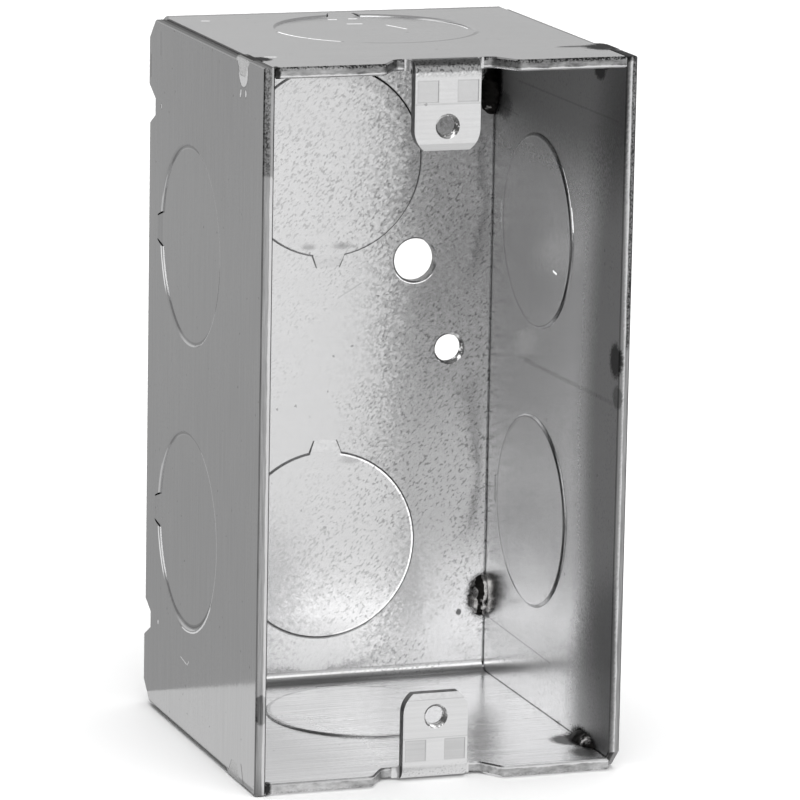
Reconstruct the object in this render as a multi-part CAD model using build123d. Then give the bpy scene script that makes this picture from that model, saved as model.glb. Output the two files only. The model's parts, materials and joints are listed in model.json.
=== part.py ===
"""Welded steel utility box for one wiring device.

A folded strip makes the back, the top and the bottom, with two tapped ears for the device.
Two flat side plates close it, held by eight short welds in notches of their rims.
X runs across the box, Y from the open front to the back, Z up. The origin is the middle of the base.
"""
from math import sqrt
import os

from build123d import *

# Overall size and sheet, in millimetres
BOX_HEIGHT = 101.6
BOX_WIDTH = 53.975
BOX_DEPTH = 53.975
SHEET = 1.5875
BODY_BEND_RADIUS = 1.6
EDGE_BREAK = 0.2

# Device ears
EAR_HOLE_SPACING = 83.344
EAR_HOLE_TO_TIP = 3.35
EAR_WIDTH = 9.525
EAR_TIP_WIDTH = 6.6
EAR_CORNER_RISE = 2.9
EAR_SETBACK = 1.7
EAR_BEND_RADIUS = 0.4
EAR_THREAD_DIAMETER = 3.505
EAR_TIP_BEVEL_RISE = 0.9
EAR_TIP_BEVEL_DEPTH = 0.2

# Shallow marks that the bending tool leaves on the face of each ear
TOOL_MARK_SIZE = 3.0
TOOL_MARK_PITCH = 5.8
TOOL_MARK_DEPTH = 0.1
TOOL_MARK_GAP = 0.8

# Relief notches in the front edges, beside the ears
RELIEF_FLAT = 2.4
RELIEF_RAMP = 2.5
RELIEF_CORNER_RADIUS = 1.2
EAR_FLARE_RADIUS = 1.0

# Knockouts: discs half sheared out of the sheet, each held by one tie between two slits
KNOCKOUT_DIAMETER = 28.2
KNOCKOUT_INSET = 0.3
ROLLOVER_WIDTH = 0.25
ROLLOVER_DEPTH = 0.2
TIE_ROOT_WIDTH = 4.7
TIE_END_WIDTH = 3.3
TIE_LENGTH = 1.6
TIE_SLIT = 0.2
SIDE_KNOCKOUT_PITCH = 41.275
BACK_KNOCKOUT_PITCH = 57.15
KNOCKOUT_FROM_BACK = 20.64

# Holes in the back, all on one circle
BACK_HOLE_CIRCLE = 38.1
MOUNTING_HOLE_DIAMETER = 6.35
GROUND_THREAD_DIAMETER = 4.826

# Rims of the side plates
RIM_SETBACK = 0.5
PLATE_CORNER_CHAMFER = 2.8
CLIPPED_CORNER = 2.5
NOTCH_MOUTH = 5.6
NOTCH_FLOOR = 2.2
BACK_NOTCH_DEPTH = 3.1
END_NOTCH_DEPTH = 2.3
BACK_WELD_FROM_END = 13.0
END_WELD_FROM_FRONT = 9.5

# Weld beads: short bars with tapered ends along the inner corners, cut to the sheets that they join.
# Those at the back lie deep in their notches, those at the ends come up flush with the plates.
BEAD_LENGTH = 6.4
BEAD_RADIUS = 2.2
BEAD_TIP_RADIUS = 0.8
BEAD_TAPER = 1.5
BEAD_RECESS = 0.1
BACK_BEAD_RECESS = 1.0

# Places worked out from the sizes above
FRONT = -BOX_DEPTH / 2
BACK = BOX_DEPTH / 2
MIDDLE = BOX_HEIGHT / 2
BODY_WIDTH = BOX_WIDTH - 2 * SHEET
KNOCKOUT_RADIUS = KNOCKOUT_DIAMETER / 2
KNOCKOUT_Y = BACK - KNOCKOUT_FROM_BACK
EAR_FACE = FRONT + EAR_SETBACK
EAR_OUTER_BEND = EAR_BEND_RADIUS + SHEET
EAR_ROOT = EAR_FACE + EAR_OUTER_BEND
EAR_HOLE_Z = MIDDLE + EAR_HOLE_SPACING / 2
EAR_TIP_Z = EAR_HOLE_Z - EAR_HOLE_TO_TIP


def folded_strip():
    """Back, top and bottom: a U section with round bends, as wide as the space between the plates."""
    outside = Pos(0, MIDDLE) * Rectangle(BOX_DEPTH, BOX_HEIGHT)
    outside = fillet(outside.vertices().group_by(Axis.X)[-1], BODY_BEND_RADIUS + SHEET)
    inside = Pos(-SHEET / 2, MIDDLE) * Rectangle(BOX_DEPTH - SHEET, BOX_HEIGHT - 2 * SHEET)
    inside = fillet(inside.vertices().group_by(Axis.X)[-1], BODY_BEND_RADIUS)
    return extrude(Plane.YZ * (outside - inside), BODY_WIDTH / 2, both=True)


def relief_outline():
    """The relief seen from above: flats beside the ear, then ramps that round out to the front edge."""
    floor = EAR_WIDTH / 2 + RELIEF_FLAT
    mouth = floor + RELIEF_RAMP
    edge = Pos(0, EAR_ROOT) * Rectangle(BODY_WIDTH, 2 * (EAR_ROOT - FRONT))
    kept = edge - Polygon((-mouth, FRONT), (mouth, FRONT), (floor, EAR_ROOT), (-floor, EAR_ROOT), align=None)
    corners = kept.vertices().filter_by(lambda corner: abs(corner.X) < BODY_WIDTH / 2 - RELIEF_CORNER_RADIUS)
    return edge - fillet(corners, RELIEF_CORNER_RADIUS)


def relief_cut():
    """The opening cut through the front edge of the top, beside and in front of the ear."""
    return Pos(0, 0, BOX_HEIGHT - SHEET) * extrude(relief_outline(), SHEET)


def broken_edges(strip):
    """Arrises to take off the strip: its two sides all round, and its front edges out to the reliefs."""
    sides = strip.faces().filter_by(Axis.X).edges().filter_by_position(Axis.Y, EAR_FACE, BACK)
    rims = strip.faces().filter_by_position(Axis.Y, FRONT, EAR_ROOT, inclusive=(True, False)).edges()
    return sides + rims.filter_by(Axis.Z, reverse=True)


def ear_section():
    """The ear's side view: a tight bend down from the top, a straight leg and a bevel at its tip."""
    bend_end = BOX_HEIGHT - EAR_OUTER_BEND
    inner_face = EAR_FACE + SHEET
    outer_start = (EAR_ROOT, BOX_HEIGHT)
    outer_end = (EAR_FACE, bend_end)
    inner_end = (inner_face, bend_end)
    inner_start = (EAR_ROOT, BOX_HEIGHT - SHEET)
    outer_bend = RadiusArc(outer_start, outer_end, -EAR_OUTER_BEND)
    inner_bend = RadiusArc(inner_end, inner_start, EAR_BEND_RADIUS)
    leg = Polyline(
        outer_end,
        (EAR_FACE, EAR_TIP_Z + EAR_TIP_BEVEL_RISE),
        (EAR_FACE + EAR_TIP_BEVEL_DEPTH, EAR_TIP_Z),
        (inner_face, EAR_TIP_Z),
        inner_end,
    )
    root = Line(inner_start, outer_start)
    return make_face([outer_bend, leg, inner_bend, root])


def ear_outline():
    """The ear's front view: straight sides that turn in through arcs to a narrower tip."""
    side = EAR_WIDTH / 2
    tip = EAR_TIP_WIDTH / 2
    shoulder = EAR_TIP_Z + EAR_CORNER_RISE
    right_corner = TangentArc((side, shoulder), (tip, EAR_TIP_Z), tangent=(0, -1))
    left_corner = TangentArc((-side, shoulder), (-tip, EAR_TIP_Z), tangent=(0, -1))
    end = Line((tip, EAR_TIP_Z), (-tip, EAR_TIP_Z))
    head = Polyline((-side, shoulder), (-side, BOX_HEIGHT), (side, BOX_HEIGHT), (side, shoulder))
    return make_face([right_corner, end, left_corner, head])


def along_depth(sketch, start, length):
    """A sketch drawn in X and Z, carried back along Y from a start."""
    return extrude(Plane((0, start, 0), x_dir=(1, 0, 0), z_dir=(0, -1, 0)) * sketch, -length)


def root_flare():
    """The ear's root seen from above: it widens through two arcs into the floor of the relief."""
    reach = EAR_WIDTH / 2 + EAR_FLARE_RADIUS
    middle = EAR_ROOT - EAR_FLARE_RADIUS / 2
    flare = Pos(0, middle) * Rectangle(2 * reach, EAR_FLARE_RADIUS)
    for side in (-1, 1):
        flare -= Pos(side * reach, EAR_ROOT - EAR_FLARE_RADIUS) * Circle(EAR_FLARE_RADIUS)
    return flare


def top_ear():
    """One device ear, folded down from the front of the top, with its tapped hole and tool marks."""
    bent_sheet = extrude(Plane.YZ * ear_section(), EAR_WIDTH / 2 + EAR_FLARE_RADIUS, both=True)
    ear = bent_sheet & along_depth(ear_outline(), EAR_FACE, EAR_OUTER_BEND)
    ear += bent_sheet & Pos(0, 0, BOX_HEIGHT - EAR_OUTER_BEND) * extrude(root_flare(), EAR_OUTER_BEND)
    ear -= along_depth(Pos(0, EAR_HOLE_Z) * Circle(EAR_THREAD_DIAMETER / 2), EAR_FACE, SHEET)
    mark_z = BOX_HEIGHT - EAR_OUTER_BEND - TOOL_MARK_GAP - TOOL_MARK_SIZE / 2
    for side in (-1, 1):
        mark = Pos(side * TOOL_MARK_PITCH / 2, mark_z) * Rectangle(TOOL_MARK_SIZE, TOOL_MARK_SIZE)
        ear -= along_depth(mark, EAR_FACE, TOOL_MARK_DEPTH)
    return ear


def tie_outline(clearance):
    """A tie seen square on: parallel inside the disc, then tapering outwards along +X."""
    root = TIE_ROOT_WIDTH / 2 + clearance
    end = TIE_END_WIDTH / 2 + clearance
    rim = sqrt(KNOCKOUT_RADIUS**2 - (TIE_ROOT_WIDTH / 2) ** 2)
    tip = KNOCKOUT_RADIUS + TIE_LENGTH
    start = KNOCKOUT_RADIUS / 2
    lower = [(start, -root), (rim, -root), (tip, -end)]
    upper = [(along, -across) for along, across in reversed(lower)]
    return Polygon(*lower, *upper, align=None)


def rollover(face_radius, shear_radius):
    """The cone that a sheared edge rolls over to, from a radius on the face to one down the shear."""
    return Cone(face_radius, shear_radius, ROLLOVER_DEPTH, align=(Align.CENTER, Align.CENTER, Align.MIN))


def knockout_opening():
    """What the die shears: the disc's circle, the two slits beside its tie and the rolled outer edge."""
    opening = extrude(Circle(KNOCKOUT_RADIUS) + tie_outline(TIE_SLIT), SHEET)
    return opening + rollover(KNOCKOUT_RADIUS + ROLLOVER_WIDTH, KNOCKOUT_RADIUS)


def knockout_disc():
    """The disc pushed in by less than the sheet, rolled at its inner edge, and its tie back to the sheet."""
    straight = SHEET - ROLLOVER_DEPTH
    disc = Pos(0, 0, KNOCKOUT_INSET) * extrude(Circle(KNOCKOUT_RADIUS), straight)
    disc += Pos(0, 0, KNOCKOUT_INSET + straight) * rollover(KNOCKOUT_RADIUS, KNOCKOUT_RADIUS - ROLLOVER_WIDTH)
    start = KNOCKOUT_RADIUS / 2
    tip = KNOCKOUT_RADIUS + TIE_LENGTH
    ramp = Polygon(
        (start, KNOCKOUT_INSET),
        (KNOCKOUT_RADIUS, KNOCKOUT_INSET),
        (tip, 0),
        (tip, SHEET),
        (KNOCKOUT_RADIUS, SHEET + KNOCKOUT_INSET),
        (start, SHEET + KNOCKOUT_INSET),
        align=None,
    )
    bar = extrude(Plane.XZ * ramp, TIE_ROOT_WIDTH, both=True)
    tie = bar & extrude(tie_outline(0), SHEET + KNOCKOUT_INSET)
    return disc + tie


def with_knockouts(sheet, planes):
    """A sheet with a knockout at each plane: the outer face holds the origin, Z points in, X at the tie."""
    for plane in planes:
        sheet -= plane * knockout_opening()
        sheet += plane * knockout_disc()
    return sheet


def body_knockout_planes():
    """Two knockouts in the back with their ties towards the middle, one in the top, one in the bottom."""
    offset = BACK_KNOCKOUT_PITCH / 2
    return [
        Plane((0, BACK, MIDDLE + offset), x_dir=(0, 0, -1), z_dir=(0, -1, 0)),
        Plane((0, BACK, MIDDLE - offset), x_dir=(0, 0, 1), z_dir=(0, -1, 0)),
        Plane((0, KNOCKOUT_Y, BOX_HEIGHT), x_dir=(0, 1, 0), z_dir=(0, 0, -1)),
        Plane((0, KNOCKOUT_Y, 0), x_dir=(0, 1, 0), z_dir=(0, 0, 1)),
    ]


def back_hole(radius, across, up):
    """A round hole through the back at a place measured from its middle."""
    return along_depth(Pos(across, MIDDLE + up) * Circle(radius), BACK - SHEET, SHEET)


def mounting_hole(across, up):
    """A punched hole in the back, with the edge rolled over where the punch came in from the front."""
    radius = MOUNTING_HOLE_DIAMETER / 2
    inner_face = Plane((across, BACK - SHEET, MIDDLE + up), x_dir=(1, 0, 0), z_dir=(0, 1, 0))
    return back_hole(radius, across, up) + inner_face * rollover(radius + ROLLOVER_WIDTH, radius)


def folded_body():
    """The whole folded strip, with ears, reliefs, knockouts and the holes in its back."""
    middle = Plane.XY.offset(MIDDLE)
    body = folded_strip() - relief_cut() - mirror(relief_cut(), middle)
    body = chamfer(broken_edges(body), EDGE_BREAK)
    body += top_ear()
    body += mirror(top_ear(), middle)
    body = with_knockouts(body, body_knockout_planes())
    circle = BACK_HOLE_CIRCLE / 2
    diagonal = circle / sqrt(2)
    body -= mounting_hole(diagonal, diagonal)
    body -= mounting_hole(-diagonal, -diagonal)
    body -= back_hole(GROUND_THREAD_DIAMETER / 2, circle, 0)
    return body


def notch_outline(depth):
    """A weld notch: a trapezium that opens along +X from its floor to a rim at X = 0."""
    mouth = NOTCH_MOUTH / 2
    floor = NOTCH_FLOOR / 2
    return Polygon((0, -mouth), (0, mouth), (-depth, floor), (-depth, -floor), align=None)


def plate_outline(clipped):
    """A side plate in Y and Z: full size at its corners, set back between the weld notches."""
    outline = Pos(0, MIDDLE) * Rectangle(BOX_DEPTH, BOX_HEIGHT)
    weld_y = FRONT + END_WELD_FROM_FRONT
    end_run = BACK - weld_y
    back_run = BOX_HEIGHT - 2 * BACK_WELD_FROM_END
    for side in (-1, 1):
        end_z = MIDDLE + side * BOX_HEIGHT / 2
        outline -= Pos(weld_y + end_run / 2, end_z) * Rectangle(end_run, 2 * RIM_SETBACK)
    outline = chamfer(outline.vertices().group_by(Axis.X)[-1], PLATE_CORNER_CHAMFER)
    outline -= Pos(BACK, MIDDLE) * Rectangle(2 * RIM_SETBACK, back_run)
    for side in (-1, 1):
        end_z = MIDDLE + side * BOX_HEIGHT / 2
        back_z = end_z - side * BACK_WELD_FROM_END
        outline -= Pos(weld_y, end_z) * Rot(0, 0, side * 90) * notch_outline(END_NOTCH_DEPTH)
        outline -= Pos(BACK, back_z) * notch_outline(BACK_NOTCH_DEPTH)
    if clipped:
        outline = chamfer(outline.vertices().sort_by_distance((FRONT, 0))[0], CLIPPED_CORNER)
    return outline


def side_plate(side, clipped):
    """One side plate, from the folded body's edge out to the box's full width."""
    inner = side * BODY_WIDTH / 2
    plate = Pos(inner, 0, 0) * extrude(Plane.YZ * plate_outline(clipped), side * SHEET)
    plate = chamfer(plate.faces().filter_by(Axis.X).edges(), EDGE_BREAK)
    outer = side * BOX_WIDTH / 2
    planes = []
    for end in (-1, 1):
        centre = (outer, KNOCKOUT_Y, MIDDLE + end * SIDE_KNOCKOUT_PITCH / 2)
        planes.append(Plane(centre, x_dir=(0, 1, 0), z_dir=(-side, 0, 0)))
    return with_knockouts(plate, planes)


def plain_bead():
    """A bead along Z before it meets the sheets: a short round bar whose ends taper."""
    end = BEAD_LENGTH / 2
    shoulder = end - BEAD_TAPER
    profile = Polyline(
        (0, -end),
        (BEAD_TIP_RADIUS, -end),
        (BEAD_RADIUS, -shoulder),
        (BEAD_RADIUS, shoulder),
        (BEAD_TIP_RADIUS, end),
        (0, end),
        close=True,
    )
    return revolve(Plane.XZ * make_face(profile), Axis.Z)


def weld_room(plate_recess):
    """The space for a bead: a hair inside the box, and a recess below the outer faces of the plates."""
    depth = BOX_DEPTH - 2 * BEAD_RECESS
    height = BOX_HEIGHT - 2 * BEAD_RECESS
    return Pos(0, 0, MIDDLE) * Box(BOX_WIDTH - 2 * plate_recess, depth, height)


def plain_beads():
    """The beads before they meet the sheets, on the corners of each plate with the back, top and bottom."""
    beads = []
    across = BODY_WIDTH / 2
    deep = BACK - SHEET
    near = FRONT + END_WELD_FROM_FRONT
    for side in (-1, 1):
        for end in (-1, 1):
            back_z = MIDDLE + end * (MIDDLE - BACK_WELD_FROM_END)
            end_z = MIDDLE + end * (MIDDLE - SHEET)
            back_bead = Pos(side * across, deep, back_z) * plain_bead()
            end_bead = Pos(side * across, near, end_z) * Rot(90, 0, 0) * plain_bead()
            beads.append(back_bead & weld_room(BACK_BEAD_RECESS))
            beads.append(end_bead & weld_room(BEAD_RECESS))
    return beads


def corner_welds(body, plates):
    """Eight beads, cut back to the sheets so that each fills its corner and the notch behind it."""
    beads = []
    for bead in plain_beads():
        bead -= body
        for plate in plates:
            bead -= plate
        beads.append(bead.solids().sort_by(SortBy.VOLUME)[-1])
    return Compound(children=beads)


def main():
    """Build the sheets and the welds, and write one file for each."""
    os.makedirs("parts", exist_ok=True)
    body = folded_body()
    left = side_plate(-1, clipped=False)
    right = side_plate(1, clipped=True)
    export_step(body, "parts/folded_body.step")
    export_step(left, "parts/left_side_plate.step")
    export_step(right, "parts/right_side_plate.step")
    export_step(corner_welds(body, [left, right]), "parts/corner_welds.step")


main()
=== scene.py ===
"""Looks of a welded steel utility box: galvanized sheets, weld beads, tapped threads and a small studio.

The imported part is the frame. Its three sheets keep their shapes and get their finishes here. The weld beads
are replaced by lumpier ones, and the threads that the solids leave out are cut into the tapped holes.
Shader lengths are in millimetres, mesh lengths in metres.
"""
import json
import logging
import math
from dataclasses import dataclass
from enum import Enum
from typing import Union

import bpy
import numpy as np
from mathutils import Matrix, Vector


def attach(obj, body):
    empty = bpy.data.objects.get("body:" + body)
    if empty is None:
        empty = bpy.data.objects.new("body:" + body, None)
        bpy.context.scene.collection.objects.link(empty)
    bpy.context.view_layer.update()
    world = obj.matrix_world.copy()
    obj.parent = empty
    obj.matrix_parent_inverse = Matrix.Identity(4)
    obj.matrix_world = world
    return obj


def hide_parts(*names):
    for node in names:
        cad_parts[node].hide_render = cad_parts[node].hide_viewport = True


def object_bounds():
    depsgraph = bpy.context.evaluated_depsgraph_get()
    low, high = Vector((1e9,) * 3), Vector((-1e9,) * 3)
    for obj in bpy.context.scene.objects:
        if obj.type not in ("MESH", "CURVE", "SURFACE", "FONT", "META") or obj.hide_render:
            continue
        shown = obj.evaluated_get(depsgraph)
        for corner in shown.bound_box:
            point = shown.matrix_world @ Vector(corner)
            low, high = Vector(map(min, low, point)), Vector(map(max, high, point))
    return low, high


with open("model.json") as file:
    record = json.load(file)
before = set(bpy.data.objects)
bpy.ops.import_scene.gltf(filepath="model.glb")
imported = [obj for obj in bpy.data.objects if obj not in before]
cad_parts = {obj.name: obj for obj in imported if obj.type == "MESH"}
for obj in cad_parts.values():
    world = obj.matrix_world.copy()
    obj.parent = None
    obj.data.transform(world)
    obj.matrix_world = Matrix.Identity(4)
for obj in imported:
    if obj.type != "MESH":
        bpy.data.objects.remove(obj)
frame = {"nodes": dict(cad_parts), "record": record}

CAD_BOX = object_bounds()
LOG = logging.getLogger("utility_box")
MM = 0.001
BODY = "root"

Point = tuple[float, float, float]
Corner = tuple[float, float]
Colour = tuple[float, float, float, float]
Number = Union["Value", float]

# How much flecks and grit fray the edge of a weld burn and of a patch of painted shade.
FLECK_FRAY = 0.7
GRIT_FRAY = 0.4
# A mark's widest fade and wobble, in millimetres, and the share of its width or spread that is full.
MARK_FADE = 0.35
MARK_WOBBLE = 0.6
MARK_CORE = 0.4
ARC_CORE = 0.7
# The lumps of a weld: how many waves add up, how fast they run along it and twist round it, and their sum.
LUMP_WAVES = 6
LUMP_RUN = 1.3
LUMP_TWIST = 2.0
LUMP_SWING = 2.2


def cosine(degrees: float) -> float:
    """The cosine of an angle in degrees."""
    return math.cos(math.radians(degrees))


class Value:
    """A number that varies over a surface. Python's operators on it add Math nodes."""

    def __init__(self, shading: "Shading", socket: bpy.types.NodeSocket) -> None:
        """Wrap one output socket of a node tree.

        Args:
            shading: The tree that the socket belongs to.
            socket: The output that carries the number.
        """
        self.shading = shading
        self.socket = socket

    def _math(self, operation: str, first: Number, second: Number = 0.0) -> "Value":
        """Join two numbers by one Math node.

        Args:
            operation: The Math node's operation.
            first: Its first input.
            second: Its second input.

        Returns:
            The node's result.
        """
        return self.shading.value("ShaderNodeMath", {"operation": operation}, {0: first, 1: second})

    def __add__(self, other: Number) -> "Value":
        """The sum."""
        return self._math("ADD", self, other)

    def __radd__(self, other: Number) -> "Value":
        """The sum, with a plain number first."""
        return self._math("ADD", other, self)

    def __sub__(self, other: Number) -> "Value":
        """The difference."""
        return self._math("SUBTRACT", self, other)

    def __rsub__(self, other: Number) -> "Value":
        """The difference, with a plain number first."""
        return self._math("SUBTRACT", other, self)

    def __mul__(self, other: Number) -> "Value":
        """The product."""
        return self._math("MULTIPLY", self, other)

    def __rmul__(self, other: Number) -> "Value":
        """The product, with a plain number first."""
        return self._math("MULTIPLY", other, self)

    def __truediv__(self, other: Number) -> "Value":
        """The quotient."""
        return self._math("DIVIDE", self, other)

    def __abs__(self) -> "Value":
        """The size without its sign."""
        return self._math("ABSOLUTE", self)

    @property
    def root(self) -> "Value":
        """The square root."""
        return self._math("SQRT", self)

    @property
    def held(self) -> "Value":
        """The number, kept from 0 to 1."""
        return self.shading.value("ShaderNodeClamp", {}, {"Value": self, "Min": 0.0, "Max": 1.0})

    @property
    def swing(self) -> "Value":
        """The number less one half: noise that swings both ways."""
        return self - 0.5

    def at_least(self, other: Number) -> "Value":
        """The larger of two numbers."""
        return self._math("MAXIMUM", self, other)

    def at_most(self, other: Number) -> "Value":
        """The smaller of two numbers."""
        return self._math("MINIMUM", self, other)

    def rise(self, low: float, high: float) -> "Value":
        """A smooth step from 0 to 1.

        Args:
            low: Where the step leaves 0.
            high: Where it reaches 1. A high below low gives a falling step.

        Returns:
            The step.
        """
        settings = {"interpolation_type": "SMOOTHSTEP", "clamp": False}
        inputs = {"Value": self, "From Min": low, "From Max": high, "To Min": 0.0, "To Max": 1.0}
        return self.shading.value("ShaderNodeMapRange", settings, inputs)

    def toward(self, other: Number, share: Number) -> "Value":
        """A blend from this number to another.

        Args:
            other: The number at a share of 1.
            share: How far the blend goes.

        Returns:
            The blend.
        """
        return self.plus(other - self, share)

    def plus(self, other: Number, times: Number) -> "Value":
        """This number plus the product of two others."""
        inputs = {0: other, 1: times, 2: self}
        return self.shading.value("ShaderNodeMath", {"operation": "MULTIPLY_ADD"}, inputs)


class Shading:
    """A node tree under construction, with one method that makes every node."""

    def __init__(self, tree: bpy.types.NodeTree) -> None:
        """Start from an empty tree.

        Args:
            tree: The tree of a material or of the world.
        """
        self.tree = tree
        tree.nodes.clear()

    def node(self, kind: str, settings: dict, inputs: dict) -> bpy.types.Node:
        """Add one node.

        Args:
            kind: The node's type.
            settings: Its properties, which are set first.
            inputs: Numbers, tuples, sockets or values for its inputs, by name or by number.

        Returns:
            The new node.
        """
        made = self.tree.nodes.new(kind)
        for name, setting in settings.items():
            setattr(made, name, setting)
        for key, given in inputs.items():
            source = given.socket if isinstance(given, Value) else given
            if isinstance(source, bpy.types.NodeSocket):
                self.tree.links.new(source, made.inputs[key])
            else:
                made.inputs[key].default_value = source
        return made

    def value(self, kind: str, settings: dict, inputs: dict, output: Union[int, str] = 0) -> Value:
        """Add one node and take a number from it.

        Args:
            kind: The node's type.
            settings: Its properties.
            inputs: Its inputs.
            output: Which output to take.

        Returns:
            The number.
        """
        return Value(self, self.node(kind, settings, inputs).outputs[output])

    def vector(self, operation: str, *given: object, scale: Number = 1.0) -> bpy.types.NodeSocket:
        """Vector Math on one or two vectors.

        Args:
            operation: The node's operation.
            given: Sockets or tuples for its vector inputs.
            scale: The factor, where the operation has one.

        Returns:
            The resulting vector.
        """
        inputs: dict = dict(enumerate(given))
        if operation == "SCALE":
            inputs["Scale"] = scale
        return self.node("ShaderNodeVectorMath", {"operation": operation}, inputs).outputs["Vector"]

    def dot(self, first: object, second: object) -> Value:
        """The dot product of two vectors."""
        settings = {"operation": "DOT_PRODUCT"}
        return self.value("ShaderNodeVectorMath", settings, {0: first, 1: second}, "Value")

    def length(self, vector: object) -> Value:
        """The length of a vector."""
        return self.value("ShaderNodeVectorMath", {"operation": "LENGTH"}, {0: vector}, "Value")

    def parts(self, vector: bpy.types.NodeSocket) -> tuple[Value, Value, Value]:
        """The three numbers of a vector."""
        split = self.node("ShaderNodeSeparateXYZ", {}, {0: vector})
        return tuple(Value(self, socket) for socket in split.outputs)

    def millimetres(self) -> bpy.types.NodeSocket:
        """The place on the object, in millimetres."""
        metres = self.node("ShaderNodeTexCoord", {}, {}).outputs["Object"]
        return self.vector("SCALE", metres, scale=1.0 / MM)

    def noise(self, place: object, scale: float, detail: float = 3.0, rough: float = 0.6) -> Value:
        """Smooth noise around one half.

        Args:
            place: The coordinates.
            scale: Features for each unit of the coordinates.
            detail: How many finer octaves are added.
            rough: How strong each finer octave is.

        Returns:
            The noise, from 0 to 1.
        """
        inputs = {"Vector": place, "Scale": scale, "Detail": detail, "Roughness": rough}
        return self.value("ShaderNodeTexNoise", {}, inputs)

    def cells(self, place: object, scale: float) -> bpy.types.NodeSocket:
        """A random colour for each cell of a crystal pattern.

        Args:
            place: The coordinates.
            scale: Cells for each unit of the coordinates.

        Returns:
            The colour, with numbers from 0 to 1.
        """
        return self.node("ShaderNodeTexVoronoi", {}, {"Vector": place, "Scale": scale}).outputs["Color"]

    def mix(self, share: Number, first: object, second: object) -> bpy.types.NodeSocket:
        """A blend of two colours.

        Args:
            share: How much of the second colour is in it.
            first: The colour at 0.
            second: The colour at 1.

        Returns:
            The colour.
        """
        settings = {"data_type": "RGBA", "clamp_factor": True}
        return self.node("ShaderNodeMix", settings, {0: share, 6: first, 7: second}).outputs[2]

    def metal(self, colour: object, rough: Value, normal: bpy.types.NodeSocket) -> None:
        """Close the tree with a metal.

        Args:
            colour: The metal's colour.
            rough: Its roughness.
            normal: The normal that its light is worked out with.
        """
        inputs = {"Base Color": colour, "Metallic": 1.0, "Roughness": rough, "Normal": normal}
        shader = self.node("ShaderNodeBsdfPrincipled", {}, inputs)
        self.node("ShaderNodeOutputMaterial", {}, {"Surface": shader.outputs["BSDF"]})

    def bump(self, height: Value, normal: object) -> bpy.types.NodeSocket:
        """A normal that follows a height.

        Args:
            height: The height in millimetres.
            normal: The normal of the plain surface.

        Returns:
            The new normal.
        """
        inputs = {"Strength": 1.0, "Distance": MM, "Height": height, "Normal": normal}
        return self.node("ShaderNodeBump", {}, inputs).outputs["Normal"]


def new_material(name: str) -> tuple[bpy.types.Material, Shading]:
    """An empty material and the tree to build it in.

    Args:
        name: The material's name.

    Returns:
        The material and its tree.
    """
    made = bpy.data.materials.new(name)
    made.use_nodes = True
    return made, Shading(made.node_tree)


class Grain(Enum):
    """Which way a sheet was rolled: how much its streaks are drawn out along each axis."""

    ACROSS = (0.02, 1.0, 1.0)
    UPRIGHT = (1.0, 1.0, 0.03)


class Side(Enum):
    """A side plate, by the sign of its place along X."""

    LEFT = -1
    RIGHT = 1


@dataclass(frozen=True)
class BoxSizes:
    """The sizes that the finishes follow, in millimetres."""

    half_width: float
    half_depth: float
    height: float
    sheet: float = 1.5875
    knockout_radius: float = 14.1
    knockout_push: float = 0.3
    knockout_from_back: float = 20.64
    side_knockout_pitch: float = 41.275
    back_knockout_pitch: float = 57.15
    tie_half_width: float = 2.35
    ear_half_width: float = 4.7625
    ear_setback: float = 1.7
    ear_flare: float = 1.0
    ear_tip_from_middle: float = 38.32
    ear_bevel: float = 0.9
    tool_mark: float = 3.0
    tool_mark_pitch: float = 5.8
    tool_mark_from_end: float = 4.2875
    back_weld_from_end: float = 13.0
    end_weld_from_front: float = 9.5
    mounting_hole: float = 13.47

    @property
    def inner_x(self) -> float:
        """Where the inner face of a side plate stands."""
        return self.half_width - self.sheet

    @property
    def inner_y(self) -> float:
        """Where the inner face of the back stands."""
        return self.half_depth - self.sheet

    @property
    def middle(self) -> float:
        """Half the height."""
        return self.height / 2

    @property
    def knockout_y(self) -> float:
        """The depth of the middles of the side, top and bottom knockouts."""
        return self.half_depth - self.knockout_from_back

    @property
    def end_weld_y(self) -> float:
        """The depth of the welds in the top and the bottom."""
        return self.end_weld_from_front - self.half_depth

    def end_level(self, end: int) -> float:
        """The inner face of the bottom, for -1, or of the top, for 1."""
        return self.middle + end * (self.middle - self.sheet)

    def back_weld_level(self, end: int) -> float:
        """The height of a back weld near the bottom, for -1, or near the top, for 1."""
        return self.middle + end * (self.middle - self.back_weld_from_end)


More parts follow.
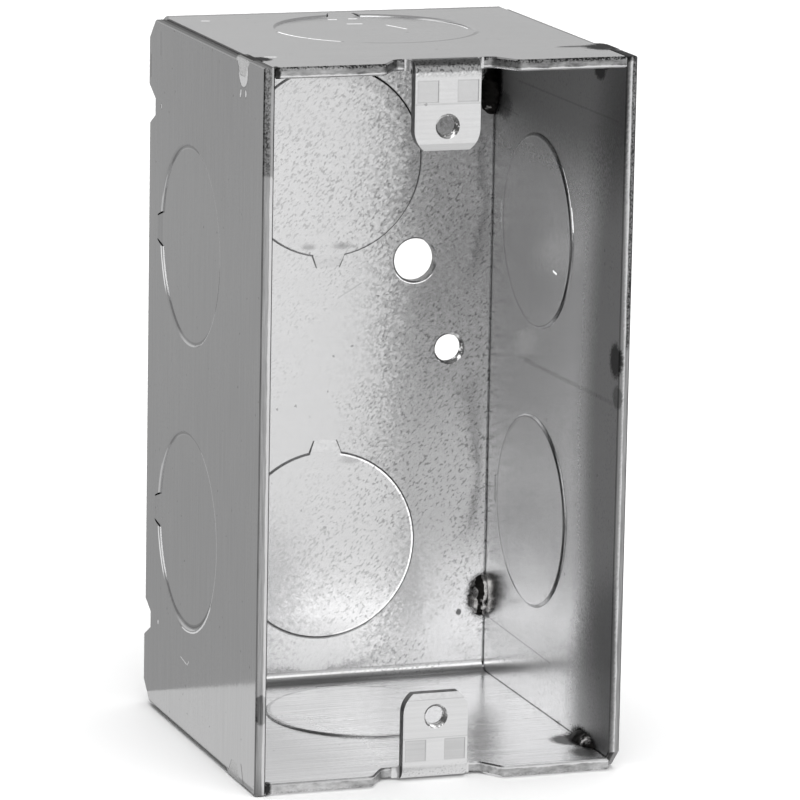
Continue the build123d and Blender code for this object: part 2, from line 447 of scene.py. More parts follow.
class Surface:
    """What a finish reads at each point of a sheet: its place, its normal and the shared noises.

    The scales are in features for each millimetre.
    """

    STREAK_SCALE = 2.6
    CLOUD_SCALE = 0.09
    GRIT_SCALE = 3.4
    CRYSTAL_SCALE = 2.8
    FLECK_SCALE = 3.0
    FLECK_TURN = (0.0, -math.pi / 4, 0.0)
    FLECK_STRETCH = (2.0, 1.0, 1.0)
    RARE_CRYSTALS = (0.9986, 0.9992)

    def __init__(self, shading: Shading, grain: Grain) -> None:
        """Add the nodes that read a point.

        Args:
            shading: The material's tree.
            grain: Which way the sheet was rolled.
        """
        self.shading = shading
        self.place = shading.millimetres()
        self.normal = shading.node("ShaderNodeNewGeometry", {}, {}).outputs["Normal"]
        self.x, self.y, self.z = shading.parts(self.place)
        self.facing_x, self.facing_y, self.facing_z = shading.parts(self.normal)
        self.streak = self.drawn(grain.value, self.STREAK_SCALE)
        self.cloud = shading.noise(self.place, self.CLOUD_SCALE)
        self.grit = shading.noise(self.place, self.GRIT_SCALE)
        self.crystal = shading.cells(self.place, self.CRYSTAL_SCALE)
        self.speck = shading.parts(self.crystal)[0].rise(*self.RARE_CRYSTALS)
        turned = {"Vector": self.place, "Rotation": self.FLECK_TURN, "Scale": self.FLECK_STRETCH}
        slanted = shading.node("ShaderNodeMapping", {"vector_type": "TEXTURE"}, turned).outputs["Vector"]
        self.fleck = shading.noise(slanted, self.FLECK_SCALE)

    @property
    def upper(self) -> Value:
        """A mask of the box's upper half."""
        return self.z.rise(40.0, 60.0)

    @property
    def lower(self) -> Value:
        """A mask of the box's lower half."""
        return self.z.rise(50.0, 40.0)

    @property
    def on_bottom(self) -> Value:
        """A mask of the bottom, with its fold."""
        return self.z.rise(6.0, 5.0)

    def drawn(self, stretch: Point, scale: float) -> Value:
        """Noise that is drawn out along an axis where the stretch is small.

        Args:
            stretch: The factor on the coordinates along each axis.
            scale: Features for each millimetre where the factor is 1.

        Returns:
            The noise, from 0 to 1.
        """
        return self.shading.noise(self.shading.vector("MULTIPLY", self.place, stretch), scale)


@dataclass(frozen=True)
class BurnAndShade:
    """A weld burn or a patch of painted shade around a middle, as wide as its reach along each axis."""

    middle: Point
    reach: Point
    depth: float = 1.0
    core: float = 0.6
    fray: float = 1.0

    def mask(self, at: Surface) -> Value:
        """The patch: one in the middle, nought outside, with a frayed edge.

        Args:
            at: The point.

        Returns:
            The patch times its depth.
        """
        away = at.shading.vector("SUBTRACT", at.place, self.middle)
        distance = at.shading.length(at.shading.vector("DIVIDE", away, self.reach))
        frayed = distance + (at.fleck.swing * FLECK_FRAY + at.grit.swing * GRIT_FRAY) * self.fray
        return frayed.rise(1.0, self.core) * self.depth


@dataclass(frozen=True)
class Mark:
    """A straight mark from one point to another, which changes the tone or tilts the surface."""

    start: Point
    end: Point
    width: float
    change: float = 0.0
    tilt: Point = (0.0, 0.0, 0.0)

    def mask(self, at: Surface) -> Value:
        """The mark: the distance from the line between its ends, cut off at its width with a short fade.

        Args:
            at: The point.

        Returns:
            One on the mark, nought off it.
        """
        run = Vector(self.end) - Vector(self.start)
        away = at.shading.vector("SUBTRACT", at.place, self.start)
        along = at.shading.dot(away, tuple(run / run.length_squared)).held
        nearest = at.shading.vector("SCALE", tuple(run), scale=along)
        distance = at.shading.length(at.shading.vector("SUBTRACT", away, nearest))
        inside = max(self.width * MARK_CORE, self.width - MARK_FADE)
        return (distance + at.grit.swing * min(self.width, MARK_WOBBLE)).rise(self.width, inside)


@dataclass(frozen=True)
class Arc:
    """A mark along a part of a knockout's rim, which changes the tone or tilts the surface."""

    middle: Point
    radius: float
    toward: Point
    spread: float
    width: float
    change: float = 0.0
    tilt: Point = (0.0, 0.0, 0.0)

    def mask(self, at: Surface) -> Value:
        """The arc: the distance from a circle, kept where the point lies toward the arc's middle.

        Args:
            at: The point, on the flat sheet that the circle lies in.

        Returns:
            One on the arc, nought off it.
        """
        away = at.shading.vector("SUBTRACT", at.place, self.middle)
        distance = at.shading.length(away)
        heading = at.shading.dot(away, tuple(Vector(self.toward).normalized())) / distance.at_least(0.1)
        kept = heading.rise(cosine(self.spread), cosine(self.spread * ARC_CORE))
        off = abs(distance - self.radius) + at.grit.swing * self.width
        return off.rise(self.width, self.width * MARK_CORE) * kept


@dataclass(frozen=True)
class Edge:
    """How sheared edges look: a mask of where they are, their tone and their roughness."""

    mask: Value
    tone: Value
    rough: float = 0.34


@dataclass(frozen=True)
class Rings:
    """The knockouts on a sheet: the distance from the nearest rim, negative inside, and the ties' mask."""

    distance: Value
    tie: Value


@dataclass(frozen=True)
class GalvanizedFinish:
    """Zinc on rolled sheet: a crystal spangle, rolling streaks, weld burns, painted shade, marks and sheared
    edges.
    """

    name: str
    grain: Grain
    sizes: BoxSizes
    spangle: float = 0.05
    streaks: float = 0.12
    flecks: float = 0.2
    specks: float = 0.3
    ripple: float = 0.002
    gloss: float = 0.16
    line: float = 0.5
    rim: float = 0.13
    clean: float = 0.97
    clouds: float = 0.1
    cloudy_gloss: float = 0.4
    flecked_gloss: float = 0.3
    fold_shade_depth: float = 0.5
    fold_dulls: float = 0.25
    burn_and_shade_rough: float = 0.5
    burr_height: float = 0.035
    groove_depth: float = 0.03
    edge_darkest: float = 0.03
    smoothest: float = 0.04
    roughest: float = 0.8
    bright: Colour = (0.9, 0.9, 0.905, 1.0)
    dark: Colour = (0.012, 0.012, 0.012, 1.0)
    burns_and_shades: tuple[BurnAndShade, ...] = ()
    marks: tuple[Union[Mark, Arc], ...] = ()

    def sheared(self, at: Surface) -> Edge:
        """The sheared edges, which each sheet places for itself."""
        raise NotImplementedError

    def rings(self, at: Surface) -> Rings:
        """The knockouts, which each sheet places for itself."""
        raise NotImplementedError

    def flecked(self, at: Surface) -> Number:
        """How strong the flecks are at a point, from 0 up."""
        return 1.0

    def rolled(self, at: Surface) -> Number:
        """How strong the rolling streaks are at a point, from 0 up."""
        return 1.0

    def folded(self, at: Surface) -> Number:
        """Where a fold gets painted shade and a duller gloss, from 0 to 1."""
        return 0.0

    def grooved(self, at: Surface) -> Number:
        """How much of the groove round a knockout shows at a point, from 0 to 1."""
        return 1.0

    def zinc(self, at: Surface) -> Value:
        """The tone of the broad faces: rolling streaks, clouds, specks and slanted dark flecks.

        Args:
            at: The point.

        Returns:
            The tone, about 1 where the zinc is clean.
        """
        fleck = at.fleck.rise(0.54, 0.63) * at.cloud.rise(0.34, 0.6) * self.flecks * self.flecked(at)
        streak = at.streak.swing * self.streaks * self.rolled(at)
        return self.clean + streak + at.cloud.swing * self.clouds - fleck - at.speck * self.specks

    def tied(self, across: Value, toward: Value) -> Value:
        """A mask of a tie: within its width across the knockout, and near the rim toward it."""
        half = self.sizes.tie_half_width
        return abs(across).rise(half + 0.1, half) * toward.rise(9.0, 11.0)

    def tilted(self, at: Surface) -> bpy.types.NodeSocket:
        """The normal, turned a little in each crystal and more where a mark tilts the surface.

        Args:
            at: The point.

        Returns:
            The normal.
        """
        crystal = at.shading.vector("SUBTRACT", at.crystal, (0.5, 0.5, 0.5))
        normal = at.shading.vector("ADD", at.normal, at.shading.vector("SCALE", crystal, scale=self.spangle))
        for mark in self.marks:
            if any(mark.tilt):
                turn = at.shading.vector("SCALE", mark.tilt, scale=mark.mask(at))
                normal = at.shading.vector("ADD", normal, turn)
        return normal

    def material(self) -> bpy.types.Material:
        """Build the finish.

        Returns:
            The material.
        """
        made, shading = new_material(self.name)
        at = Surface(shading, self.grain)
        rings = self.rings(at)
        shorn = (1.0 - rings.tie) * self.grooved(at)
        groove = abs(rings.distance + self.rim * 0.5).rise(self.rim, self.rim * 0.3) * shorn
        fold = self.folded(at)
        # The fold's mask paints shade into the tone.
        tone = self.zinc(at) * (1.0 - groove * self.line) * (1.0 - fold * self.fold_shade_depth)
        uneven = at.cloud.swing * self.cloudy_gloss + at.fleck.swing * self.flecked_gloss
        rough = self.gloss + uneven * self.gloss + fold * self.fold_dulls
        edge = self.sheared(at)
        tone = tone.toward(edge.tone, edge.mask)
        rough = rough.toward(edge.rough, edge.mask)
        for mark in self.marks:
            if mark.change:
                tone = tone.plus(mark.mask(at), mark.change)
        # Weld burns and patches of painted shade darken the tone and roughen it.
        for burn_and_shade in self.burns_and_shades:
            burn_and_shade_mask = burn_and_shade.mask(at)
            tone = tone.at_least(0.0) * (1.0 - burn_and_shade_mask)
            rough = rough.toward(self.burn_and_shade_rough, burn_and_shade_mask)
        ripples = (at.streak + at.fleck * self.flecked(at)) * self.ripple
        height = ripples + edge.mask * at.grit * self.burr_height - groove * self.groove_depth
        normal = shading.bump(height, self.tilted(at))
        rough = rough.at_least(self.smoothest).at_most(self.roughest)
        shading.metal(shading.mix(tone, self.dark, self.bright), rough, normal)
        return made


@dataclass(frozen=True)
class PlateFinish(GalvanizedFinish):
    """The finish of a side plate: its broad faces look along X, and its outline is sheared."""

    side: Side = Side.LEFT
    burnish: float = 0.64
    burnished: float = 0.9
    torn: float = 0.46
    gritty_above: float = 86.4
    gritty_dims: float = 0.4
    dish: float = 0.0

    def tilted(self, at: Surface) -> bpy.types.NodeSocket:
        """The normal: a dished plate faces down a little in its lower rear part, above its foot.

        Args:
            at: The point.

        Returns:
            The normal.
        """
        normal = super().tilted(at)
        if not self.dish:
            return normal
        dished = at.y.rise(-8.0, 6.0) * at.z.rise(44.0, 26.0) * at.z.rise(8.0, 16.0) * self.dish
        return at.shading.vector("ADD", normal, at.shading.vector("SCALE", (0.0, 0.0, -1.0), scale=dished))

    def sheared(self, at: Surface) -> Edge:
        """The outline: torn next to the outer face, burnished next to the inner one, gritty near the top,
        with both arrises and the level edges painted dark as shade.

        Args:
            at: The point.

        Returns:
            The edges.
        """
        share = (self.sizes.half_width - at.x * float(self.side.value)) / self.sizes.sheet
        lines = at.drawn((1.0, 1.0, 0.04), 4.5)
        gritty = (at.z + at.cloud.swing * 8.0).rise(self.gritty_above, self.gritty_above + 0.8)
        torn = self.torn + lines.swing * 0.5 - gritty * (0.12 + at.grit.rise(0.4, 0.62) * 0.22)
        bright = self.burnished + lines.swing * 0.3 - gritty * self.gritty_dims
        wander = share + at.drawn((0.2, 0.2, 0.2), 1.0).swing * 0.25
        front = torn.toward(bright, wander.rise(self.burnish - 0.05, self.burnish + 0.05))
        # Both arrises painted darker, as shade.
        front = front - share.rise(0.12, 0.05) * 0.14 - share.rise(0.9, 0.97) * 0.4
        # The level edges, top and bottom, take a dark tone of painted shade.
        level = 0.3 + at.grit.swing * 0.3 - share.rise(0.4, 0.55) * 0.26 + share.rise(0.14, 0.06) * 0.5
        tone = front.toward(level, abs(at.facing_z).rise(0.5, 0.7))
        mask = abs(at.facing_x).rise(0.85, 0.75) * self.rings(at).distance.rise(1.8, 2.2)
        return Edge(mask, tone.at_least(self.edge_darkest))

    def rings(self, at: Surface) -> Rings:
        """Two knockouts, one above the other, tied at the back: the height is folded about the middle.

        Args:
            at: The point.

        Returns:
            The knockouts.
        """
        up = abs(at.z - self.sizes.middle) - self.sizes.side_knockout_pitch / 2
        along = at.y - self.sizes.knockout_y
        return Rings((along * along + up * up).root - self.sizes.knockout_radius, self.tied(up, along))


@dataclass(frozen=True)
class BodyFinish(GalvanizedFinish):
    """The finish of the folded strip: back, top, bottom and the two ears."""

    lean: float = 0.025
    disc_lean: float = 0.04
    # Darkening of the back: painted shade on the lower tie's ramp, the foot, the lower left, the right corner
    # and the fold's curl; flecks high on the left and on the right.
    tie_ramp_shade: float = 0.42
    foot_shade: float = 0.1
    left_foot_shade: float = 0.26
    mottle_dulls: float = 0.15
    pepper_dulls: float = 0.18
    corner_shade: float = 0.15
    curl_shade: float = 0.3
    burnished: float = 0.92
    torn: float = 0.48
    # The tone of the ears' cut sides: painted shade.
    cut: float = 0.07

    def from_middle(self, at: Surface) -> Value:
        """The height above or below the middle."""
        return abs(at.z - self.sizes.middle)

    def on_ear(self, at: Surface) -> Value:
        """A mask of the ears, with their bends."""
        front = at.y.rise(4.1 - self.sizes.half_depth, 3.6 - self.sizes.half_depth)
        return front * abs(at.x).rise(self.sizes.ear_half_width + 0.1, self.sizes.ear_half_width)

    def on_back(self, at: Surface) -> Value:
        """A mask of the back."""
        return at.y.rise(self.sizes.inner_y - 3.0, self.sizes.inner_y - 1.5)

    def flecked(self, at: Surface) -> Number:
        """Flecks on the back only, more of them toward the right."""
        return self.on_back(at) * (0.3 + at.x.rise(-14.0, 12.0))

    def rolled(self, at: Surface) -> Number:
        """Streaks on the top, stronger ones on the bottom, and hardly any on the back."""
        bottom = at.facing_z.rise(0.5, 0.7) * at.on_bottom
        return 0.7 + bottom * 2.6 - self.on_back(at) * 0.5

    def folded(self, at: Surface) -> Number:
        """Painted shade on the inner side of the lower fold, fading out along the bottom."""
        along = at.y.rise(self.sizes.inner_y - 5.0, self.sizes.inner_y)
        return at.facing_z.rise(0.45, 0.55) * along * at.on_bottom

    def grooved(self, at: Surface) -> Number:
        """All of the groove, apart from the right side of the back's lower knockout, whose rim shines."""
        return 1.0 - self.on_back(at) * at.x.rise(0.0, 5.0) * at.lower

    def tilted(self, at: Surface) -> bpy.types.NodeSocket:
        """The normal: the back leans a little to the left, and its lower knockout's disc leans more.

        Args:
            at: The point.

        Returns:
            The normal.
        """
        disc = self.rings(at).distance.rise(0.0, -0.5) * at.z.rise(60.0, 40.0)
        leaning = (self.lean + disc * self.disc_lean) * self.on_back(at)
        aside = at.shading.vector("SCALE", (-1.0, 0.0, 0.0), scale=leaning)
        return at.shading.vector("ADD", super().tilted(at), aside)

    def zinc(self, at: Surface) -> Value:
        """The broad faces, darker in places on the back by painted shade and flecks, with the ears' own tone
        on the ears.
        """
        ears = 1.0 - self.on_ear(at) * (1.0 - self.ear(at))
        return super().zinc(at) * (1.0 - self.shade_and_flecks(at)) * ears

    def shade_and_flecks(self, at: Surface) -> Value:
        """How much darker the back is: painted shade on its lower tie's ramp, at its foot, at its lower left,
        toward its right corner and on its fold's curl, and flecks.

        Args:
            at: The point.

        Returns:
            The share of the tone that is lost.
        """
        # Painted shade: the lower tie's upward ramp, the foot and the lower left.
        ramp = at.facing_z.rise(0.08, 0.2) * at.z.rise(20.0, 25.0) * self.tie_ramp_shade
        foot = at.z.rise(9.0, 3.0) * at.facing_z.rise(0.12, 0.04) * self.foot_shade
        left_foot = at.z.rise(13.0, 8.0) * at.x.rise(14.0, 0.0) * self.left_foot_shade
        mottled = at.fleck.rise(0.5, 0.62) * at.z.rise(66.0, 72.0) * at.x.rise(14.0, 4.0) * self.mottle_dulls
        right = at.x.rise(2.0, 10.0) * at.z.rise(20.0, 30.0)
        peppered = at.fleck.rise(0.56, 0.63) * right * self.pepper_dulls
        # Painted shade: the right corner and the curl of the fold.
        corner = at.x.rise(11.0, 19.0) * at.z.rise(14.0, 26.0) * self.corner_shade
        curl = at.facing_z.rise(0.03, 0.1) * at.facing_z.rise(0.36, 0.28) * at.on_bottom * self.curl_shade
        return (ramp + foot + left_foot + curl + mottled + peppered + corner) * self.on_back(at)

    def ear(self, at: Surface) -> Value:
        """The ears' tone: two tool marks with outlines, a line under them, painted shade on the bend and on
        the upper ear's upward faces, and a darker bevelled tip, more so on the lower ear.

        Args:
            at: The point.

        Returns:
            The tone, 1 where an ear is plain.
        """
        sizes = self.sizes
        far = self.from_middle(at)
        half = sizes.tool_mark / 2
        sideways = abs(abs(at.x) - sizes.tool_mark_pitch / 2)
        upwards = abs(far - (sizes.middle - sizes.tool_mark_from_end))
        square = sideways.rise(half + 0.08, half - 0.05) * upwards.rise(half + 0.08, half - 0.05)
        square = square * (0.6 + (at.cloud + at.streak - 1.0) * 1.2)
        outline = abs(sideways.at_least(upwards) - half).rise(0.16, 0.04)
        line = abs(upwards - half - 0.25).rise(0.16, 0.05) * far.rise(sizes.middle - 5.0, sizes.middle - 5.5)
        bend = (far + at.fleck.swing * 1.4).rise(sizes.middle - 2.4, sizes.middle - 1.5)
        bevel = sizes.ear_tip_from_middle + sizes.ear_bevel
        tip = far.rise(bevel + 0.1, bevel) * (0.18 + at.lower * 0.25)
        ear = 1.0 - square * (0.2 + at.lower * 0.08) - outline * 0.1 - line * 0.12 - tip
        # Painted shade on the bend, stronger on the upper ear and mottled by grit.
        bend_shade = 0.06 + at.upper * 0.24 + at.grit.rise(0.5, 0.65) * 0.22
        # Painted shade on the upper ear's upward faces.
        return ear - bend * bend_shade - at.facing_z.rise(0.03, 0.25) * at.upper * 0.45

    def sheared(self, at: Surface) -> Edge:
        """The front edges and reliefs, torn above and burnished below, and the cut sides of the ears, painted
        dark as shade.

        Args:
            at: The point.

        Returns:
            The edges.
        """
        sizes = self.sizes
        share = (sizes.middle - self.from_middle(at)) / sizes.sheet
        front = at.y.rise(6.0 - sizes.half_depth, 5.0 - sizes.half_depth)
        flare = sizes.ear_half_width + sizes.ear_flare
        beside = abs(at.x).rise(flare - 0.1, flare + 0.1) * share.rise(1.1, 1.05)
        mottle = at.drawn((0.4, 1.0, 1.0), 1.5)
        ragged = share.rise(0.4, 0.05) * at.grit.rise(0.46, 0.56) * (0.2 + at.upper * 0.3)
        # The rims' tone: darker right of about x = -9 mm and lighter on the lower half.
        rim_tone = self.torn - at.x.rise(-20.0, -9.0) * 0.17 + at.lower * 0.22
        torn = rim_tone + mottle.swing * 0.9 - ragged
        lip = (share + mottle.swing * 0.3).rise(0.7, 0.8)
        rims = (0.0 - at.facing_y).rise(0.35, 0.55) * front * beside
        leg = self.from_middle(at).rise(sizes.middle - 2.0, sizes.middle - 2.1)
        # The ears' cut sides, which take a dark tone of painted shade.
        cut = abs(at.facing_x).rise(0.4, 0.7).at_least(abs(at.facing_y).rise(0.5, 0.3) * leg)
        behind = at.y + sizes.half_depth - sizes.ear_setback
        cut = cut * self.on_ear(at) * behind.rise(0.1, 0.14)
        tone = torn.toward(self.burnished, lip).toward(self.cut, cut)
        return Edge(rims.at_least(cut), tone.at_least(self.edge_darkest))

    def rings(self, at: Surface) -> Rings:
        """The back's knockouts, tied at the middle, and the ends' ones, tied at the back. The top's is flush.

        Args:
            at: The point.

        Returns:
            The knockouts.
        """
        sizes = self.sizes
        up = self.from_middle(at) - sizes.back_knockout_pitch / 2
        along = at.y - sizes.knockout_y
        on_back = self.on_back(at)
        back = (at.x * at.x + up * up).root
        ends = (at.x * at.x + along * along).root
        toward_tie = along.toward(0.0 - up, on_back)
        tie = self.tied(at.x, toward_tie)
        on_top = at.z.rise(sizes.height - 1.0, sizes.height - 0.8)
        return Rings(ends.toward(back, on_back) - sizes.knockout_radius, tie.at_least(on_top))


@dataclass(frozen=True)
class WeldFinish:
    """Bare weld metal: silver where it ran, black where it burnt."""

    name: str = "weld_metal"
    bright: Colour = (0.5, 0.49, 0.48, 1.0)
    burnt: Colour = (0.018, 0.017, 0.016, 1.0)
    low_skin: Colour = (0.88, 0.88, 0.88, 1.0)
    high_skin: Colour = (0.75, 0.75, 0.75, 1.0)
    skin_tilt: Point = (0.0, -0.6, 0.27)
    patch_scale: float = 0.5
    silver_share: float = 0.12
    outside_silver: float = 0.25
    nook_silver: float = 0.15
    crease_soot: float = 0.3
    high_soot: float = 0.24
    foot_soot: float = 0.2

    def material(self) -> bpy.types.Material:
        """Build the finish: the left plate's outer skin ran clean, and the rest is burnt, mostly high up.

        Returns:
            The material.
        """
        made, shading = new_material(self.name)
        at = Surface(shading, Grain.UPRIGHT)
        skin = at.x.rise(-26.3, -26.7)
        high = at.upper
        nook = at.y.rise(15.0, 20.0) * at.x.rise(10.0, 15.0) * (1.0 - high)
        crease = at.x.rise(23.6, 24.2) * at.x.rise(25.1, 24.7)
        sooty = high * self.high_soot + at.z.rise(6.0, 4.0) * self.foot_soot
        sooty = sooty + nook * (crease * self.crease_soot - self.nook_silver)
        outside = at.facing_x.rise(0.6, 0.8) * at.x.rise(24.0, 25.0) * self.outside_silver
        patches = shading.noise(at.place, self.patch_scale)
        silver = (patches + skin + outside + self.silver_share - sooty).rise(0.52, 0.64)
        clean = shading.mix(high, self.low_skin, self.high_skin)
        colour = shading.mix(skin, shading.mix(silver, self.burnt, self.bright), clean)
        tilted = shading.vector("ADD", at.normal, shading.vector("SCALE", self.skin_tilt, scale=skin * high))
        normal = shading.bump(at.grit * 0.05, tilted)
        shading.metal(colour, 0.5 - silver * 0.25 + at.grit.swing * 0.15, normal)
        return made


@dataclass(frozen=True)
class ThreadFinish:
    """Freshly cut steel: bright, with fine marks of the tap."""

    name: str = "tapped_steel"
    bright: Colour = (0.86, 0.86, 0.86, 1.0)
    dull: Colour = (0.3, 0.3, 0.3, 1.0)
    tilt: Point = (0.0, -1.2, 0.3)
    crest_scale: float = 0.9

    def material(self) -> bpy.types.Material:
        """Build the finish: the crests that catch the light lean to the front.

        Returns:
            The material.
        """
        made, shading = new_material(self.name)
        at = Surface(shading, Grain.ACROSS)
        crest = shading.noise(at.place, self.crest_scale).rise(0.48, 0.6)
        colour = shading.mix(crest, self.dull, self.bright)
        normal = shading.vector("ADD", at.normal, shading.vector("SCALE", self.tilt, scale=crest))
        shading.metal(colour, 0.2 + at.grit * 0.15, normal)
        return made


def new_piece(name: str, points: np.ndarray, faces: list, finish: bpy.types.Material) -> bpy.types.Object:
    """Make a mesh object at the origin.

    Args:
        name: The piece's name.
        points: Its vertices, one row each, in metres.
        faces: Its faces, as lists of vertex numbers.
        finish: Its material.

    Returns:
        The object, linked to the scene.
    """
    mesh = bpy.data.meshes.new(name)
    mesh.from_pydata(points.tolist(), [], faces)
    mesh.polygons.foreach_set("use_smooth", np.ones(len(mesh.polygons), dtype=bool))
    mesh.materials.append(finish)
    mesh.update()
    piece = bpy.data.objects.new(name, mesh)
    bpy.context.scene.collection.objects.link(piece)
    return piece


def ring_faces(rings: int, around: int, first: int, closed: bool) -> np.ndarray:
    """The quads of a grid of rings, each joined to the next and closed around itself.

    Args:
        rings: How many rings there are.
        around: How many points each ring has.
        first: The number of the grid's first point.
        closed: Whether the last ring is joined to the first.

    Returns:
        The quads, one row of four vertex numbers each.
    """
    ring = np.arange(rings if closed else rings - 1)[:, None]
    turn = np.arange(around)[None, :]
    after = (ring + 1) % rings
    beside = (turn + 1) % around
    corners = [ring * around + turn, ring * around + beside, after * around + beside, after * around + turn]
    return np.stack(corners, axis=-1).reshape(-1, 4) + first


def closed_lump(grid: np.ndarray, first: int) -> tuple[np.ndarray, list]:
    """A grid of rings closed at both ends by a point in the middle of its last ring.

    Args:
        grid: The rings, with shape (rings, around, 3).
        first: The number that the lump's first point gets.

    Returns:
        Its points, and its faces as lists of vertex numbers.
    """
    rings, around, _ = grid.shape
    poles = np.stack([grid[0].mean(axis=0), grid[-1].mean(axis=0)])
    points = np.concatenate([grid.reshape(-1, 3), poles])
    low = first + rings * around
    turn = np.arange(around)
    beside = (turn + 1) % around
    last = (rings - 1) * around
    bottom = np.stack([np.full(around, low), beside + first, turn + first], axis=-1)
    top = np.stack([np.full(around, low + 1), turn + first + last, beside + first + last], axis=-1)
    faces = ring_faces(rings, around, first, closed=False).tolist() + bottom.tolist() + top.tolist()
    return points, faces


def waviness(along: np.ndarray, turn: np.ndarray, seed: int) -> np.ndarray:
    """Smooth noise on a lump: a sum of waves round and along it, weaker as they get finer.

    Args:
        along: The place along the lump, from -1 to 1.
        turn: The angle round it, in radians.
        seed: Which noise to draw.

    Returns:
        The noise, about from -1 to 1.
    """
    draw = np.random.default_rng(seed)
    total = np.zeros(np.broadcast(along, turn).shape)
    for wave in range(1, LUMP_WAVES + 1):
        phase = draw.uniform(0.0, 2.0 * math.pi, 3)
        ring = np.sin(wave * turn + phase[0])
        run = np.sin(math.pi * wave * along * LUMP_RUN + phase[1])
        total += (ring * run + 0.5 * np.sin(wave * (turn + LUMP_TWIST * along) + phase[2])) / wave
    return total / LUMP_SWING


@dataclass
class CornerWelds:
    """Eight beads in the corners between the side plates and the folded strip."""

    sizes: BoxSizes
    half_length: float = 3.3
    radius: float = 2.25
    end_half_length: float = 3.9
    end_radius: float = 2.0
    end_sink: float = 0.45
    back_sink: float = 0.7
    back_lean: float = 0.3
    ripple: float = 0.015
    ripple_waves: float = 16.0
    ripple_slant: float = 0.8
    bluntness: float = 2.6
    pole_gap: float = 0.999
    lumps: float = 0.18
    rings: int = 64
    around: int = 48
    recess: float = 0.02
    back_recess: float = 1.0

    def bead(self, middle: Point, axis: int, seed: int) -> np.ndarray:
        """One bead: rings along an axis whose radius swells as a squashed ellipse, with ripples and lumps.

        Args:
            middle: The bead's middle, in millimetres.
            axis: Which axis it lies along, 1 for Y or 2 for Z.
            seed: Which lumps it has.

        Returns:
            The rings, with shape (rings, around, 3), in millimetres.
        """
        upright = axis == 2
        radius = self.radius if upright else self.end_radius
        half_length = self.half_length if upright else self.end_half_length
        along = np.sin(np.linspace(-0.5, 0.5, self.rings) * math.pi)[:, None] * self.pole_gap
        turn = np.linspace(0.0, 2.0 * math.pi, self.around, endpoint=False)[None, :]
        swell = (1.0 - np.abs(along) ** self.bluntness) ** 0.5
        waves = along * self.ripple_waves + self.ripple_slant * np.cos(turn) + seed
        ripples = 1.0 + self.ripple * np.sin(waves)
        spread = radius * swell * ripples * (1.0 + self.lumps * waviness(along, turn, seed))
        across = spread * np.cos(turn)
        up = spread * np.sin(turn)
        run = along * half_length + np.zeros_like(across)
        order = [across, up, run] if upright else [across, run, up]
        return np.stack(order, axis=-1) + np.array(middle)

    def middles(self) -> list[tuple[Point, int]]:
        """The middle and the axis of every bead, on the inner corners of the sheets, sunk in a little.

        Returns:
            One pair for each bead, the left plate's first.
        """
        places = []
        for side in Side:
            x = side.value * self.sizes.inner_x
            for end in (-1, 1):
                across = (x - side.value * self.back_lean, self.sizes.inner_y + self.back_sink)
                places.append(((across[0], across[1], self.sizes.back_weld_level(end)), 2))
                sunk = (x + side.value * self.end_sink, self.sizes.end_level(end) + end * self.end_sink)
                places.append(((sunk[0], self.sizes.end_weld_y, sunk[1]), 1))
        return places

    def build(self) -> bpy.types.Object:
        """Make all the beads as one mesh, kept inside the box: the back ones lie deep in their notches.

        Returns:
            The piece, which stands for the plain beads.
        """
        low = np.array([-self.sizes.half_width, -self.sizes.half_depth, 0.0])
        high = np.array([self.sizes.half_width, self.sizes.half_depth, self.sizes.height])
        points = np.zeros((0, 3))
        faces: list = []
        for seed, (middle, axis) in enumerate(self.middles()):
            inset = np.array([self.back_recess if axis == 2 else self.recess, self.recess, self.recess])
            grid = np.clip(self.bead(middle, axis, seed), low + inset, high - inset)
            lump, sides = closed_lump(grid, len(points))
            points = np.concatenate([points, lump])
            faces += sides
        piece = new_piece("weld_beads", points * MM, faces, WeldFinish().material())
        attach(piece, BODY)
        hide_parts("corner_welds")
        return piece


@dataclass
class TappedThread:
    """The thread in one tapped hole: a ring whose inner wall follows a helix."""

    name: str
    middle: Point
    major: float
    length: float
    depth: float = 0.38
    pitch: float = 0.794
    buried: float = 0.05
    lead_in: float = 0.25
    half_run: float = 0.49
    flank: float = 1.3
    crest: float = 0.15
    around: int = 96
    steps: int = 40

    def build(self, finish: bpy.types.Material) -> bpy.types.Object:
        """Make the ring: its inner radius is a triangle wave of depth plus turn, opened at both mouths.

        Args:
            finish: The material of the cut metal.

        Returns:
            The piece.
        """
        turn = np.linspace(0.0, 2.0 * math.pi, self.around, endpoint=False)[None, :]
        run = np.linspace(-self.half_run, self.half_run, self.steps)[:, None] * self.length
        phase = run / self.pitch + turn / (2.0 * math.pi)
        wave = np.abs(2.0 * (phase - np.floor(phase)) - 1.0)
        root = np.clip(wave * self.flank - self.crest, 0.0, 1.0)
        mouth = (np.abs(run) - (self.length / 2 - self.lead_in)) / self.lead_in
        inner = self.major / 2 - self.depth * (1.0 - np.clip(np.maximum(root, mouth), 0.0, 1.0))
        outer = np.full((2, self.around), self.major / 2 + self.buried)
        radius = np.concatenate([inner, outer])
        level = np.concatenate([run, run[[-1, 0]]]) + np.zeros_like(radius)
        ring = np.stack([radius * np.cos(turn), level, radius * np.sin(turn)], axis=-1)
        grid = ring + np.array(self.middle)
        faces = ring_faces(len(radius), self.around, 0, closed=True).tolist()
        piece = new_piece(self.name, grid.reshape(-1, 3) * MM, faces, finish)
        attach(piece, BODY)
        return piece


